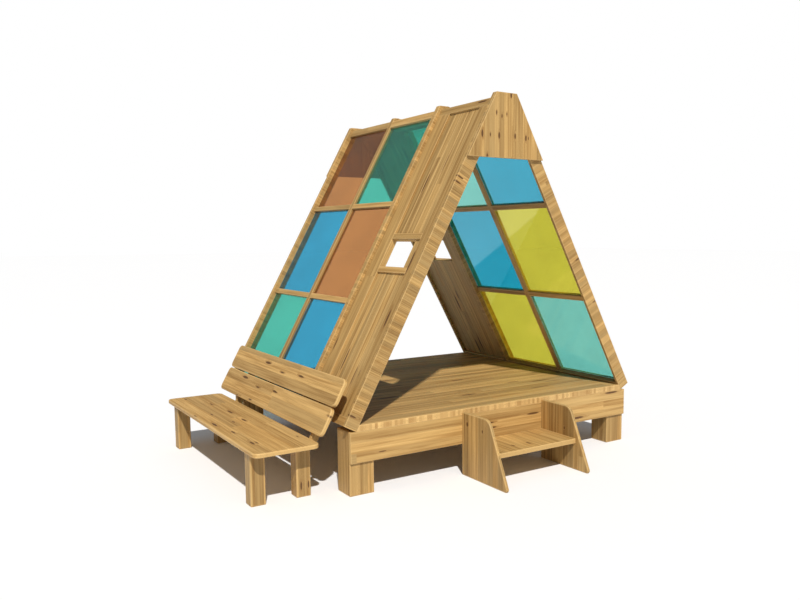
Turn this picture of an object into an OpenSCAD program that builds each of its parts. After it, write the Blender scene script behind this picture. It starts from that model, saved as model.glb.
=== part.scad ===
// A-frame play cabin with coloured panes, a raised deck, a step and a bench along one side.
// Millimetres, +Z up, front towards -Y. The plan is turned half a turn from wall to wall.
// The origin is on the ground, in the middle of everything that stands on it.

/* [Deck and posts] */
// Width of the deck's fascia boards, end to end
deck_w = 2000; // [1500:10:2600]
// Length of the deck and of both sloping walls, front to back
deck_l = 1770; // [1500:10:2400]
// Height of the fascia's top edge, which is the underside of the deck boards
deck_under = 342; // [260:1:450]
// Thickness of the deck boards
deck_t = 34; // [24:1:50]
// Height of the fascia boards
fascia_h = 166; // [100:1:200]
// Thickness of the fascia boards
fascia_t = 14; // [12:1:30]
// Side of the square corner posts
post = 142; // [90:1:160]

/* [Sloping walls] */
// Pitch of the walls above the floor, in degrees
pitch = 61.4; // [50:0.1:72]
// How far the foot of each rafter stands in from the end of the fascia
foot_inset = 35; // [20:1:60]
// Depth of the rafters, square to the wall
rafter_d = 78; // [70:1:100]
// Width of the end rafters, along the wall
rafter_t = 20; // [16:1:40]
// Width of the middle rafter, along the wall
mid_rafter_t = 40; // [16:1:60]
// How far the rafters' level cut lies over the line where the walls' inner faces meet
ridge_lap = 32; // [26:1:60]
// How far the panels, rails and studs lie back from the rafters' outer faces
panel_set = 20; // [10:1:30]
// Thickness of the studs, the pane bars and the rails between panes
panel_t = 37; // [26:1:44]
// Distance from the front rafter to the middle rafter, front face to back face
plank_bay = 598; // [530:1:700]
// Height of the ground rail up the slope
foot_rail = 50; // [30:1:80]
// Height of the ridge rail up the slope, to the line where the inner faces meet
ridge_rail_h = 70; // [40:1:120]
// How far the ridge rail's top lies below the rafters' tops
ridge_drop = 23; // [10:1:30]

/* [Planked bay] */
// Width of the stud beside the end rafter
end_stud = 105; // [60:1:120]
// Width of the stud beside the middle rafter
mid_stud = 123; // [80:1:160]
// Thickness of the infill between the studs
infill_t = 25; // [16:1:25]
// Width of the infill that runs past the window
window_side = 62; // [40:1:90]
// Height of the window's lower edge up the slope
window_from = 918; // [700:1:950]
// Height of the window up the slope
window_h = 177; // [120:1:240]
// Height of the battens over and under the window
batten_h = 36; // [20:1:50]

/* [Coloured panes] */
// Width of the bar between the two columns of panes
bar_w = 38; // [14:1:60]
// Height of the rails between panes
rail_h = 34; // [20:1:50]
// Height of the lower rail up the slope
lower_rail = 664; // [500:1:800]
// Height of the upper rail up the slope
upper_rail = 1320; // [1100:1:1500]
// Thickness of the panes
pane_t = 8; // [4:1:12]

/* [Gable boards] */
// Height of the gable boards
gable_h = 362; // [200:1:500]
// Thickness of the gable boards
gable_t = 18; // [12:1:30]

/* [Step] */
// Width of the step over its side boards
step_w = 604; // [400:1:800]
// How far the step stands out at the ground
step_reach = 408; // [300:1:500]
// How far the top edge of its side boards runs out, before its rounded corner
step_top = 208; // [140:1:225]
// How far the tread runs out
tread_reach = 306; // [240:1:320]
// Height of the tread
tread_z = 184; // [150:1:220]
// Thickness of the tread
tread_t = 28; // [20:1:40]
// Thickness of the step's side boards
step_t = 18; // [12:1:28]
// How far the side boards stand over the underside of the deck boards
step_rise = 18; // [5:1:30]
// Radius of the side boards' upper corner
step_nose = 64; // [10:1:80]
// Radius of the side boards' toe
step_toe = 14; // [4:1:30]

/* [Bench] */
// Length of the bench
bench_l = 1592; // [1200:10:1900]
// Distance from the deck's front to the bench's end
bench_from = 56; // [0:1:120]
// Width of the seat
seat_w = 350; // [280:1:400]
// Height of the seat
seat_z = 296; // [240:1:360]
// Thickness of the seat
seat_t = 24; // [20:1:34]
// Radius of the seat's corners
seat_r = 36; // [5:1:60]
// Side of the square bench legs
leg = 78; // [60:1:90]
// How far the legs stand in from the seat's long edges
leg_edge = 14; // [5:1:50]
// Distance from the bench's ends to its legs
leg_in = 104; // [60:1:200]
// Width of each back board
back_w = 156; // [100:1:190]
// Radius of the back boards' corners
back_r = 30; // [5:1:50]
// Gap between the back boards
back_gap = 6; // [4:1:20]
// How far the lower back board starts over the seat, up the slope
back_lift = 30; // [20:1:60]
// Thickness of the back boards
back_t = 22; // [18:1:30]
// Distance from the rafters' outer faces to the back boards
back_off = 53; // [40:1:80]
// Distance from the bench's front end to the front support of its back
support_front = 127; // [80:1:300]
// Distance from the bench's rear end to the rear support of its back
support_rear = 289; // [80:1:400]
// Thickness of the supports of the bench's back
support_t = 20; // [16:1:40]
// Depth of the supports, square to the wall
support_d = 44; // [30:1:56]

/* [Hidden] */
PINE = "#c2965f";
PINE_PALE = "#cfa66c";
PINE_DARK = "#a87c48";
EPS = 0.01;

half_w = deck_w / 2;
foot_x = half_w - foot_inset;
sl_c = cos(pitch);
sl_s = sin(pitch);
lean = sl_c / sl_s;
meet_s = foot_x / sl_c;
top_cut = deck_under + foot_x / lean + ridge_lap;
ridge_z = top_cut - ridge_drop;
ridge_from = meet_s - ridge_rail_h;
apex_s = meet_s + (ridge_lap + rafter_d) / sl_s + rafter_d;
mid_from = plank_bay - mid_rafter_t;
bay_w = deck_l - rafter_t - plank_bay;
col_w = (bay_w - bar_w) / 2;
bar_y = plank_bay + col_w;
panel_lo = rafter_d - panel_set - panel_t;
pane_lo = panel_lo + (panel_t - pane_t) / 2;
infill_y = rafter_t + end_stud;
infill_w = mid_from - mid_stud - infill_y;
window_y = infill_y + window_side;
row_from = [foot_rail, lower_rail + rail_h, upper_rail + rail_h];
row_to = [lower_rail, upper_rail, ridge_from];
col_from = [plank_bay, bar_y + bar_w];
step_z = deck_under + step_rise;
// the bench's back lies parallel to the wall, and its heights are measured up the slope
back_face = rafter_d + back_off;
back_foot = (seat_z - deck_under - back_face * sl_c) / sl_s;
back_from = back_foot + back_lift;
back_to = back_from + 2 * back_w + back_gap;
seat_back = foot_x - back_foot * sl_c + back_face * sl_s;
bench_x = -seat_back - seat_w;
ground_x0 = bench_x;
ground_x1 = max(half_w, foot_x + rafter_d * sl_s);
ground_y0 = -step_reach;
ground_y1 = max(deck_l + gable_t, bench_from + bench_l);

// Half the width over the rafters' outer faces at a height.
function half_over(z) = foot_x + rafter_d / sl_s - (z - deck_under) * lean;

// Everything is drawn from the middle of the deck's front edge and then moved to the origin.
module placed() {
    translate([-(ground_x0 + ground_x1) / 2, -(ground_y0 + ground_y1) / 2, 0])
        children();
}

// The left wall's own axes: X up the slope, Y to the back, Z out from its inner face.
module on_left() {
    placed()
        translate([-foot_x, 0, deck_under])
            rotate([0, -pitch, 0])
                children();
}

// The right wall is the left wall turned half a turn about the middle of the deck.
module on_right() {
    placed()
        translate([0, deck_l, 0])
            rotate([0, 0, 180])
                translate([-foot_x, 0, deck_under])
                    rotate([0, -pitch, 0])
                        children();
}

// A piece of a wall: from s0 to s1 up the slope, y0 to y1 along it and z0 to z1 outward.
module bar(s0, s1, y0, y1, z0, z1) {
    translate([s0, y0, z0])
        cube([s1 - s0, y1 - y0, z1 - z0]);
}

// Cuts what rises past a level height or past the middle of the ridge, in a wall's axes.
module below(level) {
    intersection() {
        children();
        rotate([0, pitch, 0])
            translate([foot_x - 3 * half_w, -half_w, -deck_under])
                cube([3 * half_w, deck_l + 2 * half_w, level]);
    }
}

module rafter(y, t) {
    color(PINE)
        below(top_cut)
            bar(0, apex_s, y, y + t, 0, rafter_d);
}

module ground_rail() {
    color(PINE_DARK) {
        bar(0, foot_rail, rafter_t, mid_from, 0, rafter_d - panel_set);
        bar(0, foot_rail, plank_bay, deck_l - rafter_t, 0, rafter_d - panel_set);
    }
}

module ridge_rail() {
    color(PINE_PALE)
        below(ridge_z) {
            bar(ridge_from, apex_s, rafter_t, mid_from, 0, rafter_d - panel_set);
            bar(ridge_from, apex_s, plank_bay, bar_y, 0, rafter_d - panel_set);
            bar(ridge_from, apex_s, bar_y + bar_w, deck_l - rafter_t, 0, rafter_d - panel_set);
        }
}

module studs() {
    color(PINE) {
        bar(foot_rail, ridge_from, rafter_t, infill_y, panel_lo, panel_lo + panel_t);
        bar(foot_rail, ridge_from, infill_y + infill_w, mid_from, panel_lo, panel_lo + panel_t);
    }
}

module infill() {
    color(PINE_PALE)
        difference() {
            bar(foot_rail, ridge_from, infill_y, infill_y + infill_w, panel_lo, panel_lo + infill_t);
            bar(window_from, window_from + window_h, window_y, infill_y + infill_w + EPS,
                panel_lo - EPS, panel_lo + infill_t + EPS);
        }
}

module window_battens() {
    for (s = [window_from - batten_h, window_from + window_h])
        color(PINE)
            bar(s, s + batten_h, infill_y, infill_y + infill_w, panel_lo + infill_t, panel_lo + panel_t);
}

// The bar runs up between the pieces of the ridge rail to the rafters' height.
module pane_bar() {
    color(PINE_PALE)
        below(top_cut)
            bar(foot_rail, apex_s, bar_y, bar_y + bar_w, panel_lo, panel_lo + panel_t);
}

module pane_rails() {
    for (s = [lower_rail, upper_rail])
        for (y = col_from)
            color(PINE_PALE)
                bar(s, s + rail_h, y, y + col_w, panel_lo, panel_lo + panel_t);
}

// One pane, in a row counted up the slope and a column counted from the middle rafter.
module pane(row, col) {
    bar(row_from[row], row_to[row], col_from[col], col_from[col] + col_w, pane_lo, pane_lo + pane_t);
}

// Two panes of one colour.
module panes(tint, first, second) {
    color(tint, 0.6) {
        pane(first[0], first[1]);
        pane(second[0], second[1]);
    }
}

module deck_floor() {
    color(PINE)
        placed()
            translate([0, deck_l, deck_under])
                rotate([90, 0, 0])
                    linear_extrude(deck_l)
                        polygon([
                            [-foot_x, 0],
                            [foot_x, 0],
                            [foot_x - deck_t * lean, deck_t],
                            [-foot_x + deck_t * lean, deck_t]
                        ]);
}

module fascia(y) {
    color(PINE_PALE)
        placed()
            translate([-half_w, y, deck_under - fascia_h])
                cube([deck_w, fascia_t, fascia_h]);
}

module corner_post(x, y) {
    color(PINE)
        placed()
            translate([x, y, 0])
                cube([post, post, deck_under]);
}

// A board across the outside of a gable, cut to the slope of the rafters.
module gable_board(y) {
    half_top = half_over(top_cut);
    half_low = half_over(top_cut - gable_h);
    color(PINE_PALE)
        placed()
            translate([0, y + gable_t, top_cut - gable_h])
                rotate([90, 0, 0])
                    linear_extrude(gable_t)
                        polygon([
                            [-half_low, 0],
                            [half_low, 0],
                            [half_top, gable_h],
                            [-half_top, gable_h]
                        ]);
}

// A side board of the step: upright at the back, sloping in front, with rounded corners.
module step_side(x) {
    color(PINE_PALE)
        placed()
            translate([x, 0, 0])
                rotate([90, 0, 90])
                    linear_extrude(step_t)
                        step_outline();
}

module step_outline() {
    hull() {
        translate([-EPS, 0])
            square([EPS, step_z]);
        translate([-step_top, step_z - step_nose])
            circle(r = step_nose, $fn = 64);
        translate([-step_reach + step_toe, step_toe])
            circle(r = step_toe, $fn = 32);
    }
}

module step_tread() {
    color(PINE)
        placed()
            translate([-step_w / 2 + step_t, -tread_reach, tread_z - tread_t])
                cube([step_w - 2 * step_t, tread_reach, tread_t]);
}

// A board with rounded corners, lying flat.
module round_board(l, w, t, r) {
    hull()
        for (x = [r, w - r])
            for (y = [r, l - r])
                translate([x, y, 0])
                    cylinder(h = t, r = r, $fn = 32);
}

module bench_seat() {
    color(PINE)
        placed()
            translate([bench_x, bench_from, seat_z - seat_t])
                round_board(bench_l, seat_w, seat_t, seat_r);
}

module bench_legs() {
    for (x = [bench_x + leg_edge, -seat_back - leg_edge - leg])
        for (y = [bench_from + leg_in, bench_from + bench_l - leg_in - leg])
            color(PINE_DARK)
                placed()
                    translate([x, y, 0])
                        cube([leg, leg, seat_z - seat_t]);
}

module bench_board(from) {
    color(PINE_PALE)
        on_left()
            translate([from, bench_from, back_face])
                round_board(bench_l, back_w, back_t, back_r);
}

// The supports stand against the seat's back edge and the wall's ground rail.
module bench_back_supports() {
    for (y = [bench_from + support_front, bench_from + bench_l - support_rear - support_t])
        color(PINE_DARK)
            intersection() {
                on_left()
                    translate([0, y + support_t, 0])
                        rotate([90, 0, 0])
                            linear_extrude(support_t)
                                support_outline();
                placed()
                    translate([-seat_back, 0, seat_z - seat_t])
                        cube([seat_back, deck_l, top_cut]);
            }
}

module support_outline() {
    back = back_face - support_d;
    polygon([
        [back_foot - 2 * seat_t, back],
        [0, back],
        [0, rafter_d - panel_set],
        [foot_rail, rafter_d - panel_set],
        [foot_rail, back],
        [back_to - back_r, back],
        [back_to - back_r, back_face],
        [back_foot - 2 * seat_t, back_face]
    ]);
}

deck_floor();
fascia(0);  // front_fascia
fascia(deck_l - fascia_t);  // back_fascia
corner_post(-half_w, fascia_t);  // front_left_post
corner_post(half_w - post, fascia_t);  // front_right_post
corner_post(-half_w, deck_l - fascia_t - post);  // back_left_post
corner_post(half_w - post, deck_l - fascia_t - post);  // back_right_post
on_left() rafter(0, rafter_t);  // left_front_rafter
on_left() rafter(mid_from, mid_rafter_t);  // left_middle_rafter
on_left() rafter(deck_l - rafter_t, rafter_t);  // left_back_rafter
on_left() ground_rail();  // left_ground_rail
on_left() ridge_rail();  // left_ridge_rail
on_left() studs();  // left_studs
on_left() infill();  // left_infill
on_left() window_battens();  // left_window_battens
on_left() pane_bar();  // left_pane_bar
on_left() pane_rails();  // left_pane_rails
on_left() panes("#e08a50", [2, 1], [1, 0]);  // left_orange_panes
on_left() panes("#3fc8a0", [2, 0], [0, 1]);  // left_green_panes
on_left() panes("#2f9fd0", [1, 1], [0, 0]);  // left_blue_panes
on_right() rafter(deck_l - rafter_t, rafter_t);  // right_front_rafter
on_right() rafter(mid_from, mid_rafter_t);  // right_middle_rafter
on_right() rafter(0, rafter_t);  // right_back_rafter
on_right() ground_rail();  // right_ground_rail
on_right() ridge_rail();  // right_ridge_rail
on_right() studs();  // right_studs
on_right() infill();  // right_infill
on_right() window_battens();  // right_window_battens
on_right() pane_bar();  // right_pane_bar
on_right() pane_rails();  // right_pane_rails
on_right() panes("#5fc4b8", [2, 0], [0, 1]);  // right_teal_panes
on_right() panes("#c8c840", [1, 1], [0, 0]);  // right_yellow_panes
on_right() panes("#2f9fd0", [2, 1], [1, 0]);  // right_blue_panes
gable_board(-gable_t);  // front_gable_board
gable_board(deck_l);  // back_gable_board
step_side(-step_w / 2);  // step_left_side
step_side(step_w / 2 - step_t);  // step_right_side
step_tread();
bench_seat();
bench_legs();
bench_back_supports();
bench_board(back_from + back_w + back_gap);  // bench_upper_board
bench_board(back_from);  // bench_lower_board
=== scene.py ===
import math

import bpy
import numpy as np
from mathutils import Euler, Matrix, Vector


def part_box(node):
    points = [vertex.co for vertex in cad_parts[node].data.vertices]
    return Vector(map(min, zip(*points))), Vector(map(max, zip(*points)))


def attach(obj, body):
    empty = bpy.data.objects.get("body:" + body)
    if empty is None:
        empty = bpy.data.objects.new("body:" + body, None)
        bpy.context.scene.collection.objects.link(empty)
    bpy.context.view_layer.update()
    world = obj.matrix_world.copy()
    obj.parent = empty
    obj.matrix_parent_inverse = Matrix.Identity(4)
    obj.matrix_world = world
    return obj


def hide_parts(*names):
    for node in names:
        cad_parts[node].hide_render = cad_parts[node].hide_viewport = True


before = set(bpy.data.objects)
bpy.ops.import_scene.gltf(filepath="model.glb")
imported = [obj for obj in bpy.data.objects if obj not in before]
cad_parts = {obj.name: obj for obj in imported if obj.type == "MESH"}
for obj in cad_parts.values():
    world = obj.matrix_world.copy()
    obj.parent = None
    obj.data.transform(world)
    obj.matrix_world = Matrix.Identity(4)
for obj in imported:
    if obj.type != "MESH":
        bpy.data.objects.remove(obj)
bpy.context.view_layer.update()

ARRIS = 0.0022          # how far a planed edge is rounded
HAIR = 0.0004           # the radius that a rounded corner keeps where it meets the face
WORN = 0.003            # how far the rubbed look of an arris fades on to the faces beside it
STRAIGHT = 0.02         # the bend, as a sine, below which an outline runs straight on
SHARP = 0.35            # the turn, in radians, above which a corner is rounded
SQUARE_ON = 0.8         # how nearly a face has to look along a direction to be cut square to it
dice = np.random.default_rng(11)


def solids(node, axes):
    """The corners of each solid of a node, measured along three axes.

    Corners at one spot are one corner. Every corner takes the least number found in its triangles,
    again and again, until each solid has a single number of its own."""
    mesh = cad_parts[node].data
    spots = np.empty(len(mesh.vertices) * 3, np.float32)
    mesh.vertices.foreach_get("co", spots)
    mesh.calc_loop_triangles()
    faces = np.empty(len(mesh.loop_triangles) * 3, np.int32)
    mesh.loop_triangles.foreach_get("vertices", faces)
    spots, same = np.unique(np.round(spots.reshape(-1, 3), 5), axis=0, return_inverse=True)
    faces = same.reshape(-1)[faces].reshape(-1, 3)
    number = np.arange(len(spots))
    settled = False
    while not settled:
        least = number.copy()
        np.minimum.at(least, faces.ravel(), np.repeat(number[faces].min(axis=1), 3))
        settled = bool((least == number).all())
        number = least
    along = spots.astype(float) @ np.array(axes, float).T
    return [along[number == n] for n in np.unique(number)]


def outline(corners):
    """The outline of a convex board from its corners, as points in turn round their middle.

    They are sorted by their angle about the middle, and those on a straight run are left out."""
    flat = np.unique(np.round(corners[:, :2], 5), axis=0)
    out = flat - flat.mean(axis=0)
    flat = flat[np.argsort(np.arctan2(out[:, 1], out[:, 0]))]
    before = flat - np.roll(flat, 1, axis=0)
    after = np.roll(flat, -1, axis=0) - flat
    bend = before[:, 0] * after[:, 1] - before[:, 1] * after[:, 0]
    run = np.linalg.norm(before, axis=1) * np.linalg.norm(after, axis=1)
    return flat[bend > STRAIGHT * run]


def mill(rim, low, high, axes, grain=0, across=1, arris=ARRIS, ends=True, crosscut=False):
    """A board of that outline from low to high along the third axis, with its arrises rounded.

    The outline is drawn in by the arris and swelled again by a ball: ring after ring goes from the
    middle of the lower face out to the edge, up the side and back over the upper face. At a sharp
    corner each ring turns on an arc about the drawn-in corner, with a point on either side of it.
    Faces that look along the grain are end grain. Those that look across it are sawn across glued
    strips where crosscut says so."""
    step = np.roll(rim, -1, axis=0) - rim
    length = np.linalg.norm(step, axis=1)
    ahead = step / length[:, None]
    facing = np.stack([ahead[:, 1], -ahead[:, 0]], axis=1)
    behind, faced = np.roll(ahead, 1, axis=0), np.roll(facing, 1, axis=0)
    mitre = (faced + facing) / (1 + (faced * facing).sum(axis=1))[:, None]
    sharp = (faced * facing).sum(axis=1) < math.cos(SHARP)
    thick = high - low
    worn_w = min(WORN, 0.2 * thick, 0.2 * min(length[sharp | np.roll(sharp, -1)], default=1.0))
    start = np.arctan2(faced[:, 1], faced[:, 0])
    swing = (np.arctan2(facing[:, 1], facing[:, 0]) - start + math.pi) % (2 * math.pi) - math.pi

    way_round = np.array([0, 0, 1, 2, 3, 3]) / 3
    count = np.where(sharp, len(way_round), 1)
    corner = np.repeat(np.arange(len(rim)), count)
    place = np.arange(len(corner)) - np.repeat(np.cumsum(count) - count, count)
    turned = sharp[corner]
    opens, closes = turned & (place == 0), turned & (place == len(way_round) - 1)
    angle = start[corner] + swing[corner] * way_round[place]
    turn = np.where(turned[:, None], np.stack([np.cos(angle), np.sin(angle)], axis=1), mitre[corner])
    inward = mitre[corner]
    inward[opens], inward[closes] = faced[corner[opens]], facing[corner[closes]]
    slide = np.zeros_like(inward)
    slide[opens], slide[closes] = -2 * worn_w * behind[corner[opens]], 2 * worn_w * ahead[corner[closes]]
    edge = turned & ~opens & ~closes
    base = rim[corner] - (arris + HAIR) * mitre[corner]

    # each ring: how far in it is drawn, how far out the ball takes it, its level, and whether it is
    # on a face (0), on an arris (1) or on a side (2), where only the corners are worn
    arc = np.radians([0, 30, 60, 90])
    rings = [(worn_w, HAIR, low, 0)]
    rings += [(0, HAIR + arris * math.cos(a), low + arris - arris * math.sin(a), 1) for a in arc[::-1]]
    rings += [(0, HAIR + arris, low + arris + worn_w, 2), (0, HAIR + arris, high - arris - worn_w, 2)]
    rings += [(0, HAIR + arris * math.cos(a), high - arris + arris * math.sin(a), 1) for a in arc]
    rings += [(worn_w, HAIR, high, 0)]
    draw, reach, level, state = np.array(rings).T[:, :, None]
    m = len(base)
    flat = base + slide - inward * draw[:, :, None] + turn * reach[:, :, None]
    levels = np.broadcast_to(level[:, :, None], (len(rings), m, 1))
    points = np.concatenate([flat, levels], axis=2).reshape(-1, 3)
    worn = np.where(state == 2, edge, state)

    here = np.arange(m)
    there = np.roll(here, -1)
    first = np.arange(len(rings) - 1)[:, None] * m
    quads = np.stack([first + here, first + there, first + there + m, first + here + m], axis=2)
    quads = quads.reshape(-1, 4)
    caps = np.stack([here[::-1], here + (len(rings) - 1) * m])
    looks = np.cross(points[quads[:, 2]] - points[quads[:, 0]], points[quads[:, 3]] - points[quads[:, 1]])
    looks /= np.linalg.norm(looks, axis=1)[:, None] + 1e-12
    looks = np.abs(np.concatenate([looks, [(0, 0, 1), (0, 0, 1)]]))
    third = 3 - grain - across
    shift = np.array([dice.uniform(0, 9), dice.uniform(0, 9), dice.uniform(0, 9)])
    return {
        "points": points @ np.array(axes, float),
        "quads": quads,
        "caps": caps,
        "grain": points[:, [grain, across, third]] + shift,
        "worn": worn.ravel().astype(float),
        "tone": np.full(len(points), dice.uniform()),
        "end": (looks[:, grain] > SQUARE_ON) * float(ends),
        "crosscut": (looks[:, across] > SQUARE_ON) * float(crosscut),
    }


def planed(node, axes, **ways):
    """Every solid of a node milled from its own outline, between its lowest and highest level."""
    return [mill(outline(s), s[:, 2].min(), s[:, 2].max(), axes, **ways) for s in solids(node, axes)]


def piece(name, boards, material, slot, *nodes):
    """One object made of boards laid one after the other in its mesh, in place of the nodes named."""
    mesh = bpy.data.meshes.new(name)
    first = np.cumsum([0] + [len(b["points"]) for b in boards])
    faces = [face for n, b in zip(first, boards)
             for face in (b["quads"] + n).tolist() + (b["caps"] + n).tolist()]
    mesh.from_pydata(np.concatenate([b["points"] for b in boards]).tolist(), [], faces)
    layers = (("grain", "FLOAT_VECTOR", "POINT", "vector"), ("worn", "FLOAT", "POINT", "value"),
              ("tone", "FLOAT", "POINT", "value"), ("end", "FLOAT", "FACE", "value"),
              ("crosscut", "FLOAT", "FACE", "value"))
    for key, kind, place, field in layers:
        layer = mesh.attributes.new(key, kind, place)
        layer.data.foreach_set(field, np.concatenate([b[key] for b in boards]).astype(np.float32).ravel())
    mesh.polygons.foreach_set("use_smooth", np.ones(len(faces), bool))
    mesh.materials.append(material)
    made = bpy.data.objects.new(name, mesh)
    bpy.context.scene.collection.objects.link(made)
    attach(made, "root")
    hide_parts(*nodes)
    return made


def add(tree, kind, inputs=None, **settings):
    """Adds a node, with its settings, and sets or links its inputs."""
    made = tree.nodes.new(kind)
    for key, value in settings.items():
        setattr(made, key, value)
    for key, value in (inputs or {}).items():
        if isinstance(value, bpy.types.NodeSocket):
            tree.links.new(value, made.inputs[key])
        else:
            made.inputs[key].default_value = value
    return made


def calc(tree, operation, *values):
    """A Math node's result."""
    return add(tree, "ShaderNodeMath", dict(enumerate(values)), operation=operation).outputs[0]


def ramp(tree, value, from_low, from_high, to_low=0.0, to_high=1.0):
    """A value eased from one range to another, and held at its ends."""
    inputs = {0: value, 1: from_low, 2: from_high, 3: to_low, 4: to_high}
    return add(tree, "ShaderNodeMapRange", inputs, interpolation_type="SMOOTHSTEP").outputs[0]


def blend_colours(tree, amount, first, second, mode="MIX"):
    """Two colours mixed by an amount."""
    inputs = {0: amount, 6: first, 7: second}
    return add(tree, "ShaderNodeMix", inputs, data_type="RGBA", blend_type=mode).outputs[2]


def pine(name, stave=0.04, knot_len=0.3, knot_w=0.075, knots=0.3, streaks=55.0, bright=1.0, contrast=1.0):
    """Glued pine: staves of their own tone, streaked along the grain, with drawn-out knots.

    The numbers a board carries give the way along, across and through it. Which stave a spot is in
    comes from its way across, each stave's tone from a throw on its number, and the streaks from
    noise drawn out along the grain. Knots lie in the cells of a pattern drawn out along it too."""
    stave_l = 2.3           # how far a stave runs before the next is joined on
    strip_w = 0.017         # how wide the strips show where a board is sawn across them
    joint_w = 0.0007        # half of the dark line between two staves
    ring_rate = 1400.0      # growth rings, in radians to the metre

    def wood_colour(red, green, blue):
        return (red * bright, green * bright, blue * bright, 1)

    material = bpy.data.materials.new(name)
    material.use_nodes = True
    tree = material.node_tree
    tree.nodes.clear()
    where = add(tree, "ShaderNodeAttribute", attribute_name="grain")
    tone = add(tree, "ShaderNodeAttribute", attribute_name="tone").outputs["Fac"]
    worn = add(tree, "ShaderNodeAttribute", attribute_name="worn").outputs["Fac"]
    end = add(tree, "ShaderNodeAttribute", attribute_name="end").outputs["Fac"]
    crosscut = add(tree, "ShaderNodeAttribute", attribute_name="crosscut").outputs["Fac"]
    parts = add(tree, "ShaderNodeSeparateXYZ", {0: where.outputs["Vector"]})
    u, v, w = parts.outputs
    sway = add(tree, "ShaderNodeTexNoise", {"Vector": where.outputs["Vector"], "Scale": 5.0, "Detail": 2.0})
    lane = calc(tree, "DIVIDE", v, stave)
    number = calc(tree, "FLOOR", lane)
    seat = add(tree, "ShaderNodeCombineXYZ", {0: number, 1: tone})
    throw = add(tree, "ShaderNodeTexWhiteNoise", {"Vector": seat.outputs[0]}, noise_dimensions="3D")
    lengths = calc(tree, "MULTIPLY_ADD", throw.outputs["Value"], 7.0, calc(tree, "DIVIDE", u, stave_l))
    length_no = calc(tree, "FLOOR", lengths)
    seat = add(tree, "ShaderNodeCombineXYZ", {0: number, 1: tone, 2: length_no})
    throw = add(tree, "ShaderNodeTexWhiteNoise", {"Vector": seat.outputs[0]}, noise_dimensions="3D")
    luck = add(tree, "ShaderNodeSeparateColor", {0: throw.outputs["Color"]})
    # knots, each with a halo that bends the streaks round it
    spot = add(tree, "ShaderNodeCombineXYZ", {
        0: calc(tree, "DIVIDE", calc(tree, "MULTIPLY_ADD", sway.outputs["Fac"], 0.02, u), knot_len),
        1: calc(tree, "DIVIDE", calc(tree, "MULTIPLY_ADD", sway.outputs["Fac"], 0.006, v), knot_w)})
    cells = add(tree, "ShaderNodeTexVoronoi", {"Vector": spot.outputs[0], "Scale": 1.0, "Randomness": 0.9},
                voronoi_dimensions="2D")
    cell = add(tree, "ShaderNodeSeparateColor", {0: cells.outputs["Color"]})
    chosen = calc(tree, "LESS_THAN", cell.outputs[0], knots)
    size = calc(tree, "MULTIPLY_ADD", cell.outputs[1], 0.12, 0.07)
    ratio = calc(tree, "DIVIDE", cells.outputs["Distance"], size)
    knot = calc(tree, "MULTIPLY", chosen, ramp(tree, ratio, 0.7, 1.1, 1.0, 0.0))
    halo = calc(tree, "MULTIPLY", chosen, ramp(tree, ratio, 0.8, 2.2, 1.0, 0.0))
    # broad streaks and fine fibres, both drawn out along the grain
    bent = calc(tree, "MULTIPLY_ADD", halo, 0.02, v)
    flow = add(tree, "ShaderNodeCombineXYZ", {
        0: calc(tree, "MULTIPLY_ADD", luck.outputs[0], 31.0, calc(tree, "MULTIPLY", u, 1.6)),
        1: calc(tree, "MULTIPLY_ADD", luck.outputs[1], 17.0, calc(tree, "MULTIPLY", bent, streaks)),
        2: calc(tree, "MULTIPLY", w, streaks)})
    broad = add(tree, "ShaderNodeTexNoise", {"Vector": flow.outputs[0], "Scale": 1.0, "Detail": 4.0,
                                             "Roughness": 0.6, "Distortion": 0.4})
    fibre_way = add(tree, "ShaderNodeCombineXYZ", {
        0: calc(tree, "MULTIPLY", u, 7.0), 1: calc(tree, "MULTIPLY", bent, 420.0),
        2: calc(tree, "MULTIPLY", w, 420.0)})
    fibre = add(tree, "ShaderNodeTexNoise", {"Vector": fibre_way.outputs[0], "Scale": 1.0, "Detail": 2.0})
    streak = ramp(tree, broad.outputs["Fac"], 0.5 - 0.22 / contrast, 0.5 + 0.22 / contrast)
    fine = ramp(tree, fibre.outputs["Fac"], 0.3, 0.7)
    late, early = wood_colour(0.30, 0.160, 0.044), wood_colour(0.60, 0.385, 0.143)
    wood = blend_colours(tree, streak, late, early)
    wood = blend_colours(tree, calc(tree, "MULTIPLY", fine, 0.22), wood, wood_colour(0.37, 0.205, 0.060))
    pale = ramp(tree, luck.outputs[2], 0.55, 1.0, 0.0, 0.45)
    wood = blend_colours(tree, pale, wood, wood_colour(0.44, 0.300, 0.125))
    # strips of their own tone on the faces sawn across them
    strip = calc(tree, "FLOOR", calc(tree, "DIVIDE", u, strip_w))
    strip_no = add(tree, "ShaderNodeCombineXYZ", {0: strip, 1: tone})
    cut = add(tree, "ShaderNodeTexWhiteNoise", {"Vector": strip_no.outputs[0]}, noise_dimensions="3D")
    dark_strip, pale_strip = wood_colour(0.34, 0.185, 0.060), wood_colour(0.64, 0.43, 0.175)
    cut_wood = blend_colours(tree, cut.outputs["Value"], dark_strip, pale_strip)
    wood = blend_colours(tree, calc(tree, "MULTIPLY", crosscut, 0.75), wood, cut_wood)
    # each stave's own shade
    shade = calc(tree, "ADD", calc(tree, "MULTIPLY_ADD", throw.outputs["Value"], 0.42, 0.77),
                 calc(tree, "MULTIPLY_ADD", tone, 0.12, -0.06))
    grey = add(tree, "ShaderNodeCombineColor", {0: shade, 1: shade, 2: shade})
    wood = blend_colours(tree, 1.0, wood, grey.outputs[0], "MULTIPLY")
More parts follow.
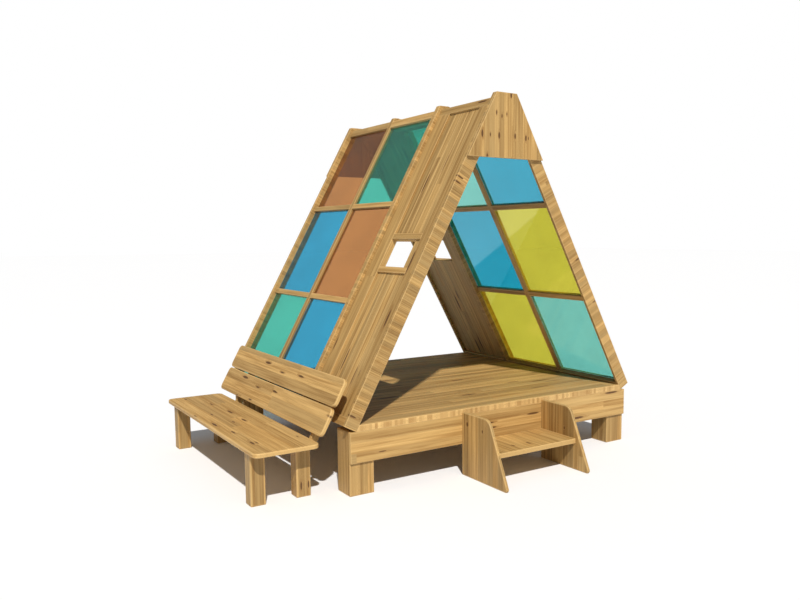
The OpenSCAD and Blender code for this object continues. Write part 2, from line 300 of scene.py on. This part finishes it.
    # end grain: rings about a heart that lies outside the board
    rings = calc(tree, "SQRT", calc(tree, "ADD", calc(tree, "MULTIPLY", v, v), calc(tree, "MULTIPLY", w, w)))
    rings = calc(tree, "MULTIPLY_ADD", sway.outputs["Fac"], 9.0, calc(tree, "MULTIPLY", rings, ring_rate))
    rings = ramp(tree, calc(tree, "SINE", rings), -1.0, 1.0)
    end_wood = blend_colours(tree, rings, wood_colour(0.44, 0.265, 0.090), wood_colour(0.60, 0.395, 0.155))
    wood = blend_colours(tree, end, wood, end_wood)
    # the knots' colour, the edges rubbed pale, and the dark line between staves
    wood = blend_colours(tree, calc(tree, "MULTIPLY", halo, 0.35), wood, wood_colour(0.26, 0.12, 0.035))
    wood = blend_colours(tree, calc(tree, "MULTIPLY", knot, 0.9), wood, (0.085, 0.035, 0.012, 1))
    rubbed = calc(tree, "MULTIPLY", worn, calc(tree, "MULTIPLY_ADD", sway.outputs["Fac"], 0.5, 0.1))
    wood = blend_colours(tree, rubbed, wood, wood_colour(0.70, 0.48, 0.205))
    joint = calc(tree, "ABSOLUTE", calc(tree, "SUBTRACT", calc(tree, "FRACT", lane), 0.5))
    joint = ramp(tree, joint, 0.5 - joint_w / stave, 0.5)
    wood = blend_colours(tree, calc(tree, "MULTIPLY", joint, 0.35), wood, (0.20, 0.10, 0.04, 1))
    height = calc(tree, "ADD", calc(tree, "MULTIPLY", streak, 0.5), calc(tree, "MULTIPLY", fine, 0.5))
    sunk = calc(tree, "ADD", calc(tree, "MULTIPLY", joint, 0.8), calc(tree, "MULTIPLY", knot, 0.4))
    height = calc(tree, "SUBTRACT", height, sunk)
    bump = add(tree, "ShaderNodeBump", {"Strength": 0.35, "Distance": 0.0006, "Height": height})
    rough = calc(tree, "MULTIPLY_ADD", streak, -0.12, calc(tree, "MULTIPLY_ADD", worn, -0.08, 0.62))
    shader = add(tree, "ShaderNodeBsdfPrincipled", {
        "Base Color": wood, "Roughness": rough, "Normal": bump.outputs[0],
        "IOR": 1.45, "Specular IOR Level": 0.35})
    out = add(tree, "ShaderNodeOutputMaterial")
    tree.links.new(shader.outputs[0], out.inputs[0])
    return material


X, Y, Z = (1, 0, 0), (0, 1, 0), (0, 0, 1)
post_pine = pine("post_pine", stave=0.045, knot_len=0.20, knot_w=0.045, knots=0.25, bright=0.95)
for corner in ("front_left", "front_right", "back_left", "back_right"):
    node = corner + "_post"
    post = planed(node, (X, Y, Z), grain=2, across=0, arris=0.004)
    piece(node + "_timber", post, post_pine, "board_pine", node)

# ---- Fascia boards ------------------------------------------------------------------------------
# A wide pine board across the front of the deck and one across its back, flat against the outer
# faces of the posts. The grain runs from end to end.
fascia_pine = pine("fascia_pine", stave=0.055, knot_len=0.34, knot_w=0.042, knots=0.20, bright=0.99)
for node in ("front_fascia", "back_fascia"):
    piece(node + "_board", planed(node, (Z, X, Y), grain=1, across=0), fascia_pine, "board_pine", node)

# ---- Deck boards --------------------------------------------------------------------------------
# Pine boards laid side by side from wall to wall, with a fine V-joint between each and the next.
# Their ends are cut to the slope of the walls.
deck_pine = pine("deck_pine", stave=0.059, knot_len=0.46, knot_w=0.075, knots=0.26, streaks=42.0,
                 bright=1.04)
deck = solids("deck_floor", (Z, X, Y))[0]
deck_boards = 15
cuts = np.linspace(deck[:, 2].min(), deck[:, 2].max(), deck_boards + 1)
floor_boards = [mill(outline(deck), a, b, (Z, X, Y), grain=1, across=2, arris=0.0018, crosscut=True)
                for a, b in zip(cuts, cuts[1:])]
piece("deck_boards", floor_boards, deck_pine, "deck_pine", "deck_floor")

# ---- Rafters ------------------------------------------------------------------------------------
# Three pine rafters stand on the deck in each sloping wall and meet those of the other wall at the
# ridge. Their streaks run crosswise, as on strips cut across the grain of a glued panel.
walls = {}
for side, sign in (("left", -1), ("right", 1)):
    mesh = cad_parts[side + "_studs"].data
    facing = np.array([p.normal for p in mesh.polygons])
    outer = facing[(facing[:, 0] * sign > 0.1) & (facing[:, 2] > 0.1)].mean(axis=0)
    outer /= np.linalg.norm(outer)
    level = np.array([0.0, -sign, 0.0])
    walls[side] = (np.cross(level, outer), level, outer)
rafter_pine = pine("rafter_pine", stave=0.024, knot_len=0.16, knot_w=0.03, knots=0.05, streaks=150.0,
                   bright=0.97, contrast=1.3)
for side, (up, level, outer) in walls.items():
    for place in ("front", "middle", "back"):
        node = f"{side}_{place}_rafter"
        bar = planed(node, (outer, up, level), grain=0, across=1, ends=False)
        piece(node + "_timber", bar, rafter_pine, "frame_pine", node)

# ---- Rails along the ground and the ridge --------------------------------------------------------
# Short rails between the rafters close each wall at the deck and at the ridge, where their tops
# are cut level. The grain runs along the wall.
rail_pine = pine("rail_pine", stave=0.05, knot_len=0.3, knot_w=0.045, knots=0.12)
for side, (up, level, outer) in walls.items():
    for node in (f"{side}_ground_rail", f"{side}_ridge_rail"):
        rails = planed(node, (outer, up, level), grain=2, across=1)
        piece(node + "_timber", rails, rail_pine, "frame_pine", node)

# ---- Studs, infill boards and battens of the planked bay ----------------------------------------
# Two wide studs and five narrow boards close the bay beside the front of the wall, with the grain
# up the slope. Four of the boards stop at the window, between a batten over it and one under it.
stud_pine = pine("stud_pine", stave=0.105, knot_len=0.40, knot_w=0.06, knots=0.26, streaks=48.0)
infill_pine = pine("infill_pine", stave=0.062, knot_len=0.40, knot_w=0.055, knots=0.28, streaks=48.0,
                   bright=1.02)
infill_count = 5
for side, axes in walls.items():
    studs = planed(f"{side}_studs", axes, grain=0, across=1)
    piece(f"{side}_studs_timber", studs, stud_pine, "frame_pine", f"{side}_studs")
    bay = solids(f"{side}_infill", axes)[0]
    low, high = bay.min(axis=0), bay.max(axis=0)
    ups = np.unique(np.round(bay[:, 0], 4))
    edges = np.linspace(low[1], high[1], infill_count + 1)
    boards = []
    for k, (a, b) in enumerate(zip(edges, edges[1:])):
        runs = [(low[0], high[0])] if k == 0 else [(low[0], ups[1]), (ups[2], high[0])]
        for s, e in runs:
            rim = np.array([(s, a), (e, a), (e, b), (s, b)])
            boards.append(mill(rim, low[2], high[2], axes, grain=0, across=1))
    piece(f"{side}_infill_boards", boards, infill_pine, "frame_pine", f"{side}_infill")
    battens = planed(f"{side}_window_battens", axes, grain=1, across=0)
    piece(f"{side}_window_batten_strips", battens, rail_pine, "frame_pine", f"{side}_window_battens")

# ---- Bars and rails round the panes -------------------------------------------------------------
# A bar up the slope and two rails each side of it part the six panes of each wall.
# They are planed from the same pine as the rails, with the grain along each.
for side, (up, level, outer) in walls.items():
    for node, grain in ((f"{side}_pane_bar", 1), (f"{side}_pane_rails", 2)):
        strips = planed(node, (outer, up, level), grain=grain, across=0)
        piece(node + "_timber", strips, rail_pine, "frame_pine", node)

# ---- Coloured panes -----------------------------------------------------------------------------
# Clear sheets of tinted acrylic, 8 mm thick, with polished faces and edges just broken.
# Each fills the space between its bars and rails, from edge to edge.


def tinted_sheet(name, tint):
    """Tinted clear plastic: light passes and takes the tint, and the polished face reflects."""
    material = bpy.data.materials.new(name)
    material.use_nodes = True
    tree = material.node_tree
    tree.nodes.clear()
    spots = add(tree, "ShaderNodeTexCoord").outputs["Object"]
    cloud = add(tree, "ShaderNodeTexNoise", {"Vector": spots, "Scale": 3.0, "Detail": 3.0}).outputs["Fac"]
    dust = add(tree, "ShaderNodeTexNoise", {"Vector": spots, "Scale": 60.0, "Detail": 3.0}).outputs["Fac"]
    deep = tuple(c * 0.93 for c in tint) + (1,)
    body = blend_colours(tree, ramp(tree, cloud, 0.35, 0.65), deep, tuple(tint) + (1,))
    wave = add(tree, "ShaderNodeBump", {"Strength": 0.04, "Distance": 0.002, "Height": cloud})
    shader = add(tree, "ShaderNodeBsdfPrincipled", {
        "Base Color": body, "Roughness": ramp(tree, dust, 0.4, 0.8, 0.02, 0.07), "IOR": 1.49,
        "Transmission Weight": 0.92, "Normal": wave.outputs[0]})
    out = add(tree, "ShaderNodeOutputMaterial")
    tree.links.new(shader.outputs[0], out.inputs[0])
    return material


tints = {
    "left_orange_panes": ("orange_pane", (0.57, 0.245, 0.068)),
    "left_green_panes": ("green_pane", (0.075, 0.58, 0.445)),
    "left_blue_panes": ("blue_pane", (0.03, 0.39, 0.62)),
    "right_teal_panes": ("teal_pane", (0.19, 0.66, 0.575)),
    "right_yellow_panes": ("yellow_pane", (0.68, 0.64, 0.065)),
    "right_blue_panes": ("blue_pane", (0.012, 0.40, 0.58)),
}
pane_play = 0.0006      # how far each edge of a pane stays clear of the wood
for node, (slot, tint) in tints.items():
    axes = walls[node.split("_")[0]]
    sheets = []
    for s in solids(node, axes):
        rim = outline(s)
        middle = rim.mean(axis=0)
        rim = middle + (rim - middle) * (1 - pane_play / np.abs(rim - middle).max(axis=0))
        sheets.append(mill(rim, s[:, 2].min(), s[:, 2].max(), axes, arris=0.0008))
    piece(node + "_sheets", sheets, tinted_sheet(node + "_acrylic", tint), slot, node)

# ---- Gable boards -------------------------------------------------------------------------------
# A board across the outside of each gable ties the two walls at the ridge. It is glued up from
# upright pine staves and cut to the slope of the rafters.
gable_pine = pine("gable_pine", stave=0.034, knot_len=0.12, knot_w=0.04, knots=0.24, streaks=60.0,
                  bright=0.93)
for node in ("front_gable_board", "back_gable_board"):
    piece(node + "_panel", planed(node, (Z, X, Y), grain=0, across=1), gable_pine, "board_pine", node)

# ---- Step ---------------------------------------------------------------------------------------
# Two upright side boards with a rounded nose and toe hold a tread between them, at mid height.
# The sides' staves stand upright, and the tread's run from front to back.
step_pine = pine("step_pine", stave=0.045, knot_len=0.11, knot_w=0.06, knots=0.16, streaks=60.0,
                 bright=0.93)
for node in ("step_left_side", "step_right_side"):
    side = planed(node, (Y, Z, X), grain=1, across=0, arris=0.004)
    piece(node + "_board", side, step_pine, "board_pine", node)
tread_pine = pine("tread_pine", stave=0.056, knot_len=0.2, knot_w=0.05, knots=0.06, streaks=50.0)
tread = planed("step_tread", (X, Y, Z), grain=1, across=0, arris=0.003)
piece("step_tread_board", tread, tread_pine, "deck_pine", "step_tread")

# ---- Bench --------------------------------------------------------------------------------------
# A wide seat with rounded corners on four square legs, and two back boards that lean with the wall
# on a pair of slim supports. The boards' grain runs from end to end of the bench.
bench_pine = pine("bench_pine", stave=0.062, knot_len=0.26, knot_w=0.045, knots=0.16, streaks=70.0,
                  bright=1.08, contrast=1.2)
seat = planed("bench_seat", (X, Y, Z), grain=1, across=0, arris=0.005)
piece("bench_seat_board", seat, bench_pine, "bench_pine", "bench_seat")
legs = planed("bench_legs", (X, Y, Z), grain=2, across=0, arris=0.004)
piece("bench_legs_timber", legs, post_pine, "bench_pine", "bench_legs")
for node in ("bench_upper_board", "bench_lower_board"):
    plank = planed(node, walls["left"], grain=1, across=0, arris=0.005)
    piece(node + "_plank", plank, bench_pine, "bench_pine", node)
# Each support is a slim bar up the slope with a lug at its inner face, and is milled as those two.
up, level, outer = walls["left"]
supports = []
near = 0.001            # corners this near the innermost are the lug's, and it laps the bar by as much
for s in solids("bench_back_supports", (outer, up, level)):
    inmost, low, high = s[:, 0].min(), s[:, 2].min(), s[:, 2].max()
    lug = s[:, 0] < inmost + near
    bar = s[~lug]
    foot = np.array([(x, y, low) for x in (inmost, bar[:, 0].min() + near)
                     for y in (s[lug, 1].min(), s[lug, 1].max())])
    supports += [mill(outline(part), low, high, (outer, up, level), grain=1, across=0)
                 for part in (bar, foot)]
piece("bench_back_supports_timber", supports, post_pine, "bench_pine", "bench_back_supports")

# ---- Studio -------------------------------------------------------------------------------------
# A plain pale floor, a sun from the front left, and a surround that is white where it is seen and
# lights the shadows softly. The camera is placed from the middle of the front fascia.
floor_drop = 0.001      # how far the floor lies under the feet of the posts
bpy.ops.mesh.primitive_plane_add(size=120)
studio_floor = bpy.context.object
studio_floor.name = "studio_floor"
studio_floor.location = (0, 0, -floor_drop)
floor_paint = bpy.data.materials.new("floor_paint")
floor_paint.use_nodes = True
paint = floor_paint.node_tree.nodes["Principled BSDF"].inputs
paint["Base Color"].default_value = (0.93, 0.94, 0.97, 1)
paint["Roughness"].default_value = 0.9
paint["Specular IOR Level"].default_value = 0.1
studio_floor.data.materials.append(floor_paint)

sun = bpy.data.objects.new("studio_sun", bpy.data.lights.new("studio_sun", "SUN"))
sun.data.energy = 3.75
sun.data.angle = math.radians(1.5)
sun.data.color = (1.0, 0.97, 0.92)
sun.rotation_euler = Vector((0.448, 1, -1.175)).to_track_quat("-Z", "Y").to_euler()
bpy.context.scene.collection.objects.link(sun)

world = bpy.data.worlds.new("studio")
world.use_nodes = True
tree = world.node_tree
tree.nodes.clear()
fill = add(tree, "ShaderNodeBackground", {"Color": (0.93, 0.97, 1.0, 1), "Strength": 0.25})
white = add(tree, "ShaderNodeBackground", {"Color": (1, 1, 1, 1), "Strength": 1.0})
path = add(tree, "ShaderNodeLightPath").outputs
direct = calc(tree, "LESS_THAN", path["Diffuse Depth"], 0.5)
through = calc(tree, "MULTIPLY", path["Is Transmission Ray"], direct)
seen = calc(tree, "MAXIMUM", path["Is Camera Ray"], through)
both = add(tree, "ShaderNodeMixShader", {0: seen, 1: fill.outputs[0], 2: white.outputs[0]})
tree.links.new(both.outputs[0], add(tree, "ShaderNodeOutputWorld").inputs[0])
bpy.context.scene.world = world
bpy.context.scene.view_settings.view_transform = "Standard"

camera = bpy.data.objects.new("camera", bpy.data.cameras.new("camera"))
camera.data.sensor_width = 36
camera.data.lens = 35.02
camera.data.shift_x = -0.0752
camera.data.shift_y = 0.0221
front_low, front_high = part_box("front_fascia")
left_of_middle, before_fascia, eye_height = 2.76336, 3.53083, 1.34520
fascia_middle = (front_low.x + front_high.x) / 2
camera.location = (fascia_middle - left_of_middle, front_low.y - before_fascia, eye_height)
tilt, pan, roll = math.radians(84.018), math.radians(-34.764), math.radians(-0.163)
camera.rotation_euler = (Euler((tilt, 0, pan)).to_matrix() @ Matrix.Rotation(roll, 3, "Z")).to_euler()
bpy.context.scene.collection.objects.link(camera)
bpy.context.scene.camera = camera
